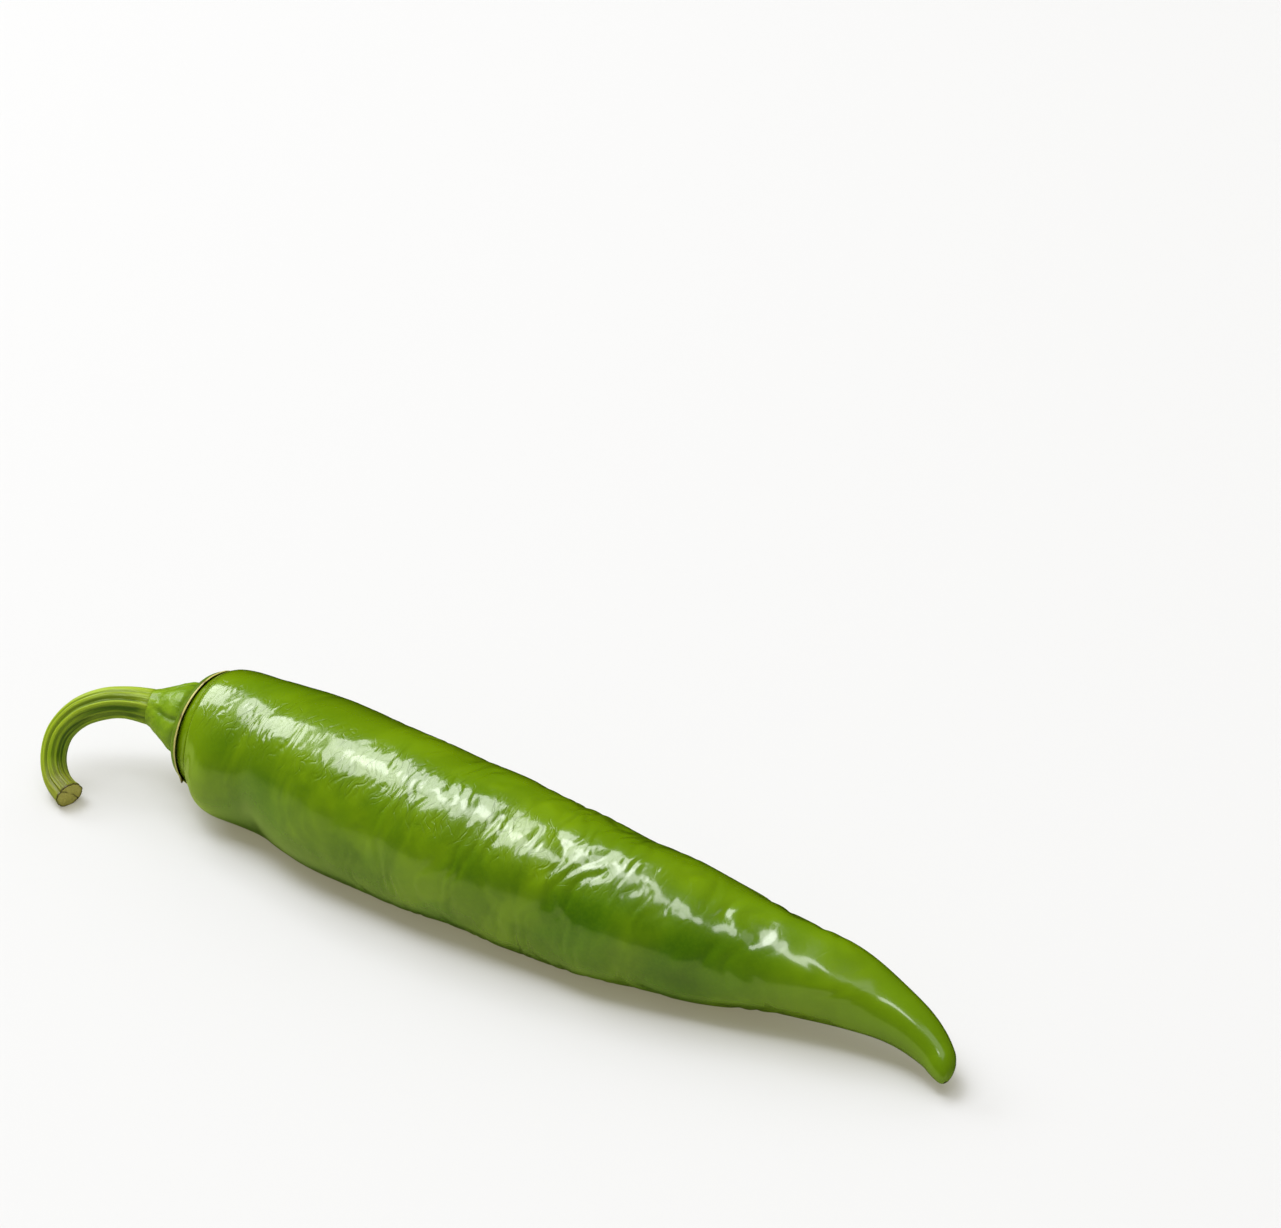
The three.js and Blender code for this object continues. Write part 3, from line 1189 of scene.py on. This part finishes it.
@dataclass
class Calyx:
    """The cap on the pod: a thin collar on the shoulder and a swollen receptacle above it.

    Attributes:
        sides: Points round it.
        stations: Rings over its profile.
        profile: Height over the seat and radius of the profile's points, both in shares: of the
            way from seat to neck, and of the rim's radius.
        swellings: Number of swellings of the receptacle.
        swell_mm: Height of the swellings.
        crease_mm: Depth of the creases between them.
        swell_deg: Angle of the first swelling.
        points: Dry points of the rim: the angle of each, and how far it reaches in millimetres.
        rim_mm: Half width of the dry rim.
        ripple: Fine unevenness.
        ripple_mm: Its height.
        seam_mm: Depth of the seam between collar and receptacle.
        drape: How far a dry point drapes over the pod, as a share of how far it reaches.
    """

    sides: int = 240
    stations: int = 220
    profile: tuple[Pair, ...] = (
        (0.004, 0.150), (0.004, 0.500), (0.004, 0.850), (0.000, 0.955), (-0.020, 0.990),
        (-0.050, 1.020), (-0.085, 1.042), (-0.120, 1.062), (-0.139, 1.076), (-0.142, 1.088),
        (-0.132, 1.092), (-0.100, 1.080), (-0.051, 1.052), (0.000, 1.008), (0.020, 0.974),
        (0.041, 0.916), (0.061, 0.852), (0.092, 0.780), (0.122, 0.722), (0.150, 0.680),
        (0.178, 0.652), (0.208, 0.640), (0.244, 0.652), (0.295, 0.668), (0.366, 0.664),
        (0.447, 0.636), (0.539, 0.586), (0.640, 0.522), (0.752, 0.453), (0.860, 0.393),
        (0.935, 0.354), (0.978, 0.334), (0.990, 0.324), (0.984, 0.300),
    )  # fmt: skip
    swellings: int = 5
    swell_mm: float = 0.34
    crease_mm: float = 0.26
    swell_deg: float = 251.0
    points: tuple[Pair, ...] = (
        (150.0, 0.60), (222.0, 0.12), (262.0, 0.18), (318.0, 0.40), (20.0, 0.35), (88.0, 0.50),
    )  # fmt: skip
    rim_mm: float = 0.13
    ripple: RippleBand = RippleBand(53, 50, 1.2, 3.0, 60.0, 40.0)
    ripple_mm: float = 0.03
    seam_mm: float = 0.14
    drape: float = 0.75

    def surface(self, node: bpy.types.Object, seat: Triple) -> Skin:
        """Works out the calyx's surface: the profile carried round the CAD rings' line.

        The stations stand closer together near the outermost edge.

        Args:
            node: The CAD node of the calyx.
            seat: A place near the middle of the pod's seat.

        Returns:
            The skin.
        """
        rings = Sweep.from_node(node, seat)
        rim = rings.girth_radius().max()
        shares, radii = np.array(self.profile).T
        gaps = np.hypot(np.diff(shares * rings.reach[-1]), np.diff(radii * rim))
        run = np.concatenate([[0.0], np.cumsum(gaps)])
        edge = run[np.argmax(radii)]
        even = np.linspace(0.0, run[-1], 2000)
        filled = np.cumsum(1.0 + 5.0 * bump(edge, 0.7 * MM, even))
        steps = np.interp(np.linspace(filled[0], filled[-1], self.stations), filled, even)
        share, radius = spline_through(run, np.stack([shares, radii], axis=-1), steps).T
        centres, side, over = self.sections(rings, share * rings.reach[-1])
        around = ring_angles(self.stations, self.sides)
        edge_mm = to_points((steps - edge) / MM, around)
        share = to_points(share, around)
        swell, crease = self.swelling(share, around)
        reach_out, point = self.dry_points(edge_mm, around)
        rough = self.ripple_mm * self.ripple.height(share * 10.0, around)
        rough = rough * ramp(0.16, 0.26, share) * ramp(0.98, 0.8, share)
        wide = radius[:, None] * rim + (swell + reach_out + rough) * MM
        points = centres[:, None] + spokes(around, side, over) * wide[..., None]
        along = unit(np.cross(side, over))[:, None]
        points = points - along * (self.drape * reach_out * MM)[..., None]
        marks = self.rim_marks(edge_mm, around, point)
        # Painted shade in the creases.
        marks["crease"] = crease
        marks["collar"] = ramp(0.22, 0.16, share)
        marks["neck"] = ramp(0.62, 0.97, share)
        flow = unrolled(to_points(steps, around), wide, around)
        return Skin("calyx_cap", points, flow, marks)

    @staticmethod
    def sections(rings: Sweep, at: Array) -> tuple[Array, Array, Array]:
        """Middles and section axes along the CAD line, run on straight past both ends.

        Args:
            rings: The CAD rings.
            at: Distances along their line.

        Returns:
            Middles, side axes and over axes.
        """
        start, end = rings.reach[0], rings.reach[-1]
        inside = np.clip(at, start, end)
        ahead, behind, middle = (
            spline_through(rings.reach, rings.centres, np.clip(inside + step, start, end))
            for step in (0.2 * MM, -0.2 * MM, 0.0)
        )
        travel = unit(ahead - behind)
        return (middle + travel * (at - inside)[:, None],) + carried_frames(travel)

    def rim_marks(self, edge_mm: Array, around: Array, point: Array) -> dict[str, Array]:
        """Masks of the dry pale rim and of the brown line beside it.

        Args:
            edge_mm: Distance along the profile from the outermost edge.
            around: Angle round the calyx.
            point: Mask of the dry points.

        Returns:
            The masks by name.
        """
        uneven = 0.04 * np.cos(around * 9.0 + 0.4) + 0.03 * np.cos(around * 23.0 + 2.0)
        inner = self.rim_mm + uneven
        pale = ramp(inner + 0.07, inner, edge_mm) * ramp(-0.40, -0.30, edge_mm)
        worn = 0.35 + 0.45 * np.cos(around * 3.0 + 1.3) + 0.35 * np.cos(around * 11.0)
        line = bump(0.0, 0.05, edge_mm - inner - 0.10) * np.clip(worn, 0.0, 1.0)
        under = ramp(-0.25, -0.40, edge_mm) * ramp(-2.0, -1.5, edge_mm)
        return {"rim": pale, "burn": np.clip(point + 0.8 * line + 0.7 * under, 0.0, 1.0)}

    def swelling(self, share: Array, around: Array) -> tuple[Array, Array]:
        """Swellings of the receptacle: the square of a slow cosine round it, sharp between them.

        Args:
            share: Share of the way from seat to neck.
            around: Angle round the calyx.

        Returns:
            Height in millimetres, and a mask of painted shade in the creases and the seam.
        """
        wander = 0.25 * np.sin(3.0 * around + 7.0 * share)
        start = math.radians(self.swell_deg) * self.swellings
        phase = round_distance(around * self.swellings + wander, start)
        hump = np.cos(phase / 2.0) ** 2
        groove = np.exp(-((np.abs(np.abs(phase) - math.pi)) / 0.45) ** 2)
        belt = ramp(0.19, 0.34, share) * ramp(0.98, 0.58, share)
        collar = ramp(-0.06, 0.06, share) * ramp(0.24, 0.15, share)
        seam = bump(0.190, 0.016, share)
        height = (self.swell_mm * hump - self.crease_mm * groove) * belt
        height = height - 0.10 * groove * collar - self.seam_mm * seam
        # Painted shade: darkest in the creases and the seam.
        mask = 0.6 * groove * belt + 0.75 * seam + 0.25 * groove * collar
        return height, np.clip(mask, 0.0, 1.0)

    def dry_points(self, edge_mm: Array, around: Array) -> tuple[Array, Array]:
        """Dry points and waviness of the thin rim: narrow bells on slow cosines.

        Args:
            edge_mm: Distance along the profile from the outermost edge.
            around: Angle round the calyx.

        Returns:
            How far the rim reaches out in millimetres, and a mask of the dry points.
        """
        reach = 0.05 * np.cos(around * 7.0 + 1.0) + 0.04 * np.cos(around * 13.0 + 2.0)
        mask = np.zeros_like(edge_mm)
        for angle, size in self.points:
            turn = round_distance(around, math.radians(angle))
            reach = reach + size * np.exp(-((turn / 0.038) ** 2))
            mask = np.maximum(mask, min(1.0, 0.4 + size) * np.exp(-((turn / 0.05) ** 2)))
        return reach * bump(0.0, 0.30, edge_mm), mask * ramp(0.75, 0.35, edge_mm)


# ---- the stem ---------------------------------------------------------------------------------


@dataclass
class Stem:
    """The ridged stalk, from inside the receptacle to its cut end.

    Attributes:
        sides: Points round it.
        stations: Rings along its skin.
        cut_rings: Rings across the cut face.
        ridges: Waves round it: how many, how high as a share of the radius, and their phase.
        grooves: Single grooves and ribs: angle and width in degrees, and height as a share of
            the radius.
        lit_upper_deg: Angle of the upper side, painted lighter where the light falls.
        twist: How far the ridges turn from end to end, in radians.
        overlap_mm: How far it reaches into the receptacle.
        lip_mm: How far the rim of the cut flares.
        dish_mm: How deep the cut face lies inside its rim.
        crack_mm: Depth of the crack across it.
    """

    sides: int = 180
    stations: int = 230
    cut_rings: int = 26
    ridges: tuple[tuple[int, float, float], ...] = (
        (5, 0.016, 0.9), (11, 0.012, 2.1), (18, 0.011, 0.4), (29, 0.010, 1.3), (43, 0.005, 0.2),
    )  # fmt: skip
    grooves: tuple[Triple, ...] = (
        (233.0, 5.0, -0.120), (222.0, 3.2, 0.060), (199.0, 8.0, -0.045), (176.0, 4.0, -0.050),
        (262.0, 3.5, -0.040), (40.0, 6.0, -0.080), (120.0, 6.0, -0.070),
    )  # fmt: skip
    lit_upper_deg: float = 285.0
    twist: float = 0.2
    overlap_mm: float = 1.2
    lip_mm: float = 0.16
    dish_mm: float = 0.22
    crack_mm: float = 0.10

    def surface(self, node: bpy.types.Object, neck: Triple) -> Skin:
        """Works out the stem's surface: its skin, then the cut face closed ring by ring.

        Args:
            node: The CAD node of the stem.
            neck: A place near the middle of the calyx's neck.

        Returns:
            The skin.
        """
        rings = Sweep.from_node(node, neck)
        length = rings.reach[-1]
        reach = np.linspace(0.0, length, self.stations)
        fine = rings.finer(reach, self.sides)
        travel = unit(np.gradient(fine.centres, axis=0))
        around = ring_angles(self.stations, self.sides)
        share = to_points(reach / length, around)
        height = self.ridge_height(share, around) * (0.35 + 0.65 * ramp(0.0, 0.10, share))
        left_mm = to_points((length - reach) / MM, around)
        lip = self.lip_mm * bump(0.15, 0.45, left_mm) * (1.0 + 0.5 * np.cos(around - 2.0))
        wide = fine.girth_radius()[:, None] * (1.0 + height) + lip * MM
        out = spokes(around, *carried_frames(travel))
        points = fine.centres[:, None] + out * wide[..., None]
        start = points[:1] - travel[0] * self.overlap_mm * MM
        face, burn = self.cut_face(points[-1], fine.centres[-1], travel[-1], around[0])
        grid = np.concatenate([start, points, face])
        face_middles = np.repeat(fine.centres[-1:], self.cut_rings, axis=0)
        middles = np.concatenate([start.mean(axis=1), fine.centres, face_middles])
        along = np.concatenate([[-self.overlap_mm * MM], reach, np.full(self.cut_rings, length)])
        angle = ring_angles(len(grid), self.sides)
        radius = np.linalg.norm(grid - middles[:, None], axis=2)
        pad = np.zeros((1, self.sides))
        skin, flat = np.zeros_like(around), np.zeros_like(burn)
        # Painted shade and highlight: darker in the grooves, paler on the crests, by the height of
        # the ridges.
        tone = np.clip(0.55 + height / 0.06, 0.0, 1.0)
        # Painted light on the upper side.
        sunny = ramp(0.35, 1.0, np.cos(around - math.radians(self.lit_upper_deg)))
        parts = {
            "ridge": (ramp(0.1, 0.55, tone), flat),
            "crest": (0.7 * ramp(0.55, 1.0, tone), flat),
            "upper": (0.40 * sunny, flat),
            "dry": (0.55 * ramp(9.0, 1.0, left_mm), flat),
            "cut": (skin, np.ones_like(burn)),
            "burn": (0.9 * bump(0.0, 0.22, left_mm), burn),
        }
        marks = {name: np.concatenate([pad, *both]) for name, both in parts.items()}
        flow = unrolled(to_points(along, angle), radius, angle)
        return Skin("stem_stalk", grid, flow, marks)

    def ridge_height(self, share: Array, around: Array) -> Array:
        """Ridges: cosines round the stem that turn slowly along it, and single grooves.

        Args:
            share: Share of the way along the stem.
            around: Angle round it.

        Returns:
            Height as a share of the radius.
        """
        turned = around + self.twist * share
        height = np.zeros_like(share)
        for count, size, phase in self.ridges:
            wander = 0.8 * np.sin(2.3 * share + count)
            height = height + size * np.cos(count * turned + phase + wander)
        for angle, width, size in self.grooves:
            turn = np.degrees(round_distance(around, math.radians(angle)))
            height = height + size * bump(0.0, width, turn)
        return height

    def cut_face(
        self, edge: Array, middle: Array, outward: Array, around: Array
    ) -> tuple[Array, Array]:
        """The cut face: rings that shrink to the middle, dished, with a crack across.

        Args:
            edge: The last ring of the skin.
            middle: Its middle.
            outward: Direction out of the cut.
            around: Angle of each point of the ring.

        Returns:
            The rings, and a mask of the brown rim and crack on them.
        """
        shrink = np.linspace(1.0, 0.0, self.cut_rings + 1)[1:]
        shrink[-1] = 0.015
        spread = shrink[:, None]
        dish = 0.10 * ramp(0.75, 0.2, spread) - self.dish_mm * ramp(1.0, 0.8, spread)
        bow = 0.25 + 0.20 * np.sin(spread * 5.0)
        across = spread * np.sin(around[None] - 0.9) - bow * 0.3
        crack = np.exp(-((across / 0.05) ** 2)) * ramp(0.1, 0.4, spread)
        grain = 0.03 * np.cos(around[None] * 9.0 + 4.0 * spread) * ramp(0.1, 0.6, spread)
        height = dish - self.crack_mm * crack + grain
        points = middle + (edge[None] - middle) * spread[..., None]
        points = points + outward * (height * MM)[..., None]
        return points, np.clip(0.85 * ramp(0.86, 1.0, spread) + 0.75 * crack, 0.0, 1.0)


# ---- the studio -------------------------------------------------------------------------------


@dataclass(frozen=True)
class Panel:
    """A rectangular light that faces the pepper.

    Attributes:
        name: Its name.
        source: Direction towards it.
        distance: How far away it hangs.
        size: Its extent across the pepper and along it.
        radiance: How bright its face is.
        mirrored: Whether gloss shows it.
    """

    name: str
    source: Triple
    distance: float
    size: Pair
    radiance: float
    mirrored: bool = True

    def build(self) -> None:
        """Hangs the light. Its power is radiance times pi times its area."""
        light = bpy.data.lights.new(self.name, "AREA")
        light.shape = "RECTANGLE"
        light.size, light.size_y = self.size
        light.energy = self.radiance * math.pi * self.size[0] * self.size[1]
        lamp = bpy.data.objects.new(self.name, light)
        bpy.context.scene.collection.objects.link(lamp)
        direction = Vector(self.source).normalized()
        lamp.location = direction * self.distance
        lamp.rotation_euler = direction.to_track_quat("Z", "Y").to_euler()
        lamp.visible_camera = False
        lamp.visible_glossy = self.mirrored


@dataclass
class Studio:
    """Floor, light and camera.

    Attributes:
        floor_size: Side of the square floor.
        floor_tone: How much light the floor throws back, in red, green and blue.
        floor_glow: Light that the floor adds of its own, which lifts the shadows.
        floor_gloss: How much of the floor's light gloss mirrors, in red, green and blue.
        gloss_fade: Distances from the pepper's line between which that fades out. Behind the
            line nothing is mirrored.
        azimuth_deg: Where the camera stands round the pepper.
        elevation_deg: How high it looks down from.
        distance: Distance from the camera to the point it looks at.
        lens_mm: Its focal length.
        sensor_mm: Width of its sensor.
        aim: The point on the floor that it looks at.
        panels: The lights: a row of softboxes above, and lights that gloss does not mirror.
        dome: Strength of the light from all round.
        dome_tint: Its colour.
        backdrop: Tone of what is seen past the floor.
    """

    floor_size: float = 6.0
    floor_tone: Triple = (0.468, 0.479, 0.520)
    floor_glow: Triple = (0.190, 0.172, 0.105)
    floor_gloss: Triple = (0.70, 0.84, 0.20)
    gloss_fade: Pair = (0.020, 0.200)
    azimuth_deg: float = 37.0
    elevation_deg: float = 32.0
    distance: float = 0.6095
    lens_mm: float = 100.0
    sensor_mm: float = 36.0
    aim: Triple = (-0.0333, 0.0848, 0.0)
    panels: tuple[Panel, ...] = (
        Panel("softbox", (-0.43, -0.04, 0.89), 3.0, (2.40, 1.42), 5.4),
        Panel("left_softbox", (-0.84, 0.06, 0.53), 3.0, (1.70, 1.05), 5.2),
        Panel("right_softbox", (-0.11, -0.20, 0.98), 3.0, (2.60, 0.56), 5.2),
        Panel("right_fill", (0.09, -0.20, 0.98), 3.0, (2.60, 0.60), 5.2, False),
        Panel("tip_softbox", (0.46, -0.06, 0.88), 3.0, (1.70, 0.75), 0.9),
        Panel("back_panel", (-0.10, 0.62, 0.78), 4.0, (4.50, 4.50), 0.5, False),
    )
    dome: float = 0.34
    dome_tint: Triple = (1.0, 0.985, 0.94)
    backdrop: float = 0.95

    def build(self) -> None:
        """Builds the floor, the lights, the surroundings and the camera."""
        self.build_floor()
        for panel in self.panels:
            panel.build()
        self.build_dome()
        self.build_camera()
        scene = bpy.context.scene
        scene.view_settings.view_transform = "Standard"
        scene.view_settings.look = "None"

    def build_floor(self) -> None:
        """Lays a plain pale floor under the pepper."""
        half = self.floor_size / 2.0
        square = [(-half, -half, 0.0), (half, -half, 0.0), (half, half, 0.0), (-half, half, 0.0)]
        mesh = bpy.data.meshes.new("floor")
        mesh.from_pydata(square, [], [(0, 1, 2, 3)])
        material, bench, shader = new_material("floor_paper")
        dimmed = tuple(part * share for part, share in zip(self.floor_tone, self.floor_gloss))
        glossy = bench.put("ShaderNodeLightPath").outputs["Is Glossy Ray"]
        place = bench.put("ShaderNodeTexCoord").outputs["Object"]
        aside = bench.put("ShaderNodeSeparateXYZ", {0: place}).outputs[1]
        fade = bench.fit(bench.math("ABSOLUTE", aside), *self.gloss_fade)
        fade = bench.math("MAXIMUM", fade, bench.fit(aside, 0.0, self.gloss_fade[0]))
        mirrored = bench.layers(dimmed + (1.0,), (fade, 1.0, BLACK))
        inputs = {
            "Base Color": bench.layers(self.floor_tone + (1.0,), (glossy, 1.0, mirrored)),
            "Emission Color": bench.layers(self.floor_glow + (1.0,), (glossy, 1.0, BLACK)),
            "Emission Strength": 1.0,
            "Roughness": 0.9,
            "Specular IOR Level": 0.0,
        }
        bench.feed(shader, inputs)
        material.cycles.emission_sampling = "NONE"
        mesh.materials.append(material)
        floor = bpy.data.objects.new("floor", mesh)
        bpy.context.scene.collection.objects.link(floor)

    def build_dome(self) -> None:
        """Even light from all round, which gloss does not mirror."""
        world = bpy.data.worlds.new("studio")
        bpy.context.scene.world = world
        world.cycles_visibility.glossy = False
        world.use_nodes = True
        world.node_tree.nodes.clear()
        bench = Bench(world.node_tree)
        seen = bench.put("ShaderNodeLightPath").outputs["Is Camera Ray"]
        strength = bench.math("MULTIPLY_ADD", seen, self.backdrop - self.dome, self.dome)
        inputs = {"Color": self.dome_tint + (1.0,), "Strength": strength}
        glow = bench.put("ShaderNodeBackground", inputs)
        bench.put("ShaderNodeOutputWorld", {"Surface": glow.outputs[0]})

    def build_camera(self) -> None:
        """Stands the camera where it looks down on the pepper from the front right."""
        turn, rise = math.radians(self.azimuth_deg), math.radians(self.elevation_deg)
        level = math.cos(rise)
        back = Vector((math.sin(turn) * level, -math.cos(turn) * level, math.sin(rise)))
        data = bpy.data.cameras.new("camera")
        data.sensor_width = self.sensor_mm
        data.lens = self.lens_mm
        data.clip_start, data.clip_end = 0.01, 50.0
        camera = bpy.data.objects.new("camera", data)
        bpy.context.scene.collection.objects.link(camera)
        camera.location = Vector(self.aim) + back * self.distance
        camera.rotation_euler = back.to_track_quat("Z", "Y").to_euler()
        bpy.context.scene.camera = camera


# ---- the pepper -------------------------------------------------------------------------------


@dataclass
class Chilli:
    """The whole pepper: pod, calyx and stem, each standing for its CAD node."""

    pod: Pod = field(default_factory=Pod)
    calyx: Calyx = field(default_factory=Calyx)
    stem: Stem = field(default_factory=Stem)

    def build(self, nodes: dict[str, bpy.types.Object]) -> None:
        """Builds and dresses every piece, hangs it on the root body and hides its CAD node.

        Args:
            nodes: The CAD nodes by name.
        """
        effects = Effects()
        seat = self.joint("calyx", "pod")
        neck = self.joint("stem", "calyx")
        for skin, finish, node, slot in (
            (self.pod.surface(nodes["pod"]), PodFinish(), "pod", "pod_skin"),
            (self.calyx.surface(nodes["calyx"], seat), CalyxFinish(), "calyx", "calyx_skin"),
            (self.stem.surface(nodes["stem"], neck), StemFinish(), "stem", "stem_skin"),
        ):
            piece = skin.build(finish.make(effects))
            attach(piece, "root")
            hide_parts(node)

    @staticmethod
    def joint(behind: str, ahead: str) -> Triple:
        """A place near where two nodes meet: the near side of the box further back.

        Args:
            behind: Node towards the cut end.
            ahead: Node towards the tip.

        Returns:
            The place.
        """
        (_, *low), (x, *high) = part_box(behind)
        (_, *ahead_low), (_, *ahead_high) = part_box(ahead)
        floor = [max(pair) for pair in zip(low, ahead_low)]
        ceiling = [min(pair) for pair in zip(high, ahead_high)]
        return (x, (floor[0] + ceiling[0]) / 2.0, (floor[1] + ceiling[1]) / 2.0)


def main() -> None:
    """Builds the pepper and its studio."""
    logging.basicConfig(level=logging.INFO, format="%(name)s: %(message)s")
    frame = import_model()
    Chilli().build(frame["nodes"])
    Studio().build()
    LOG.info("boxes written")


if __name__ == "__main__":
    main()
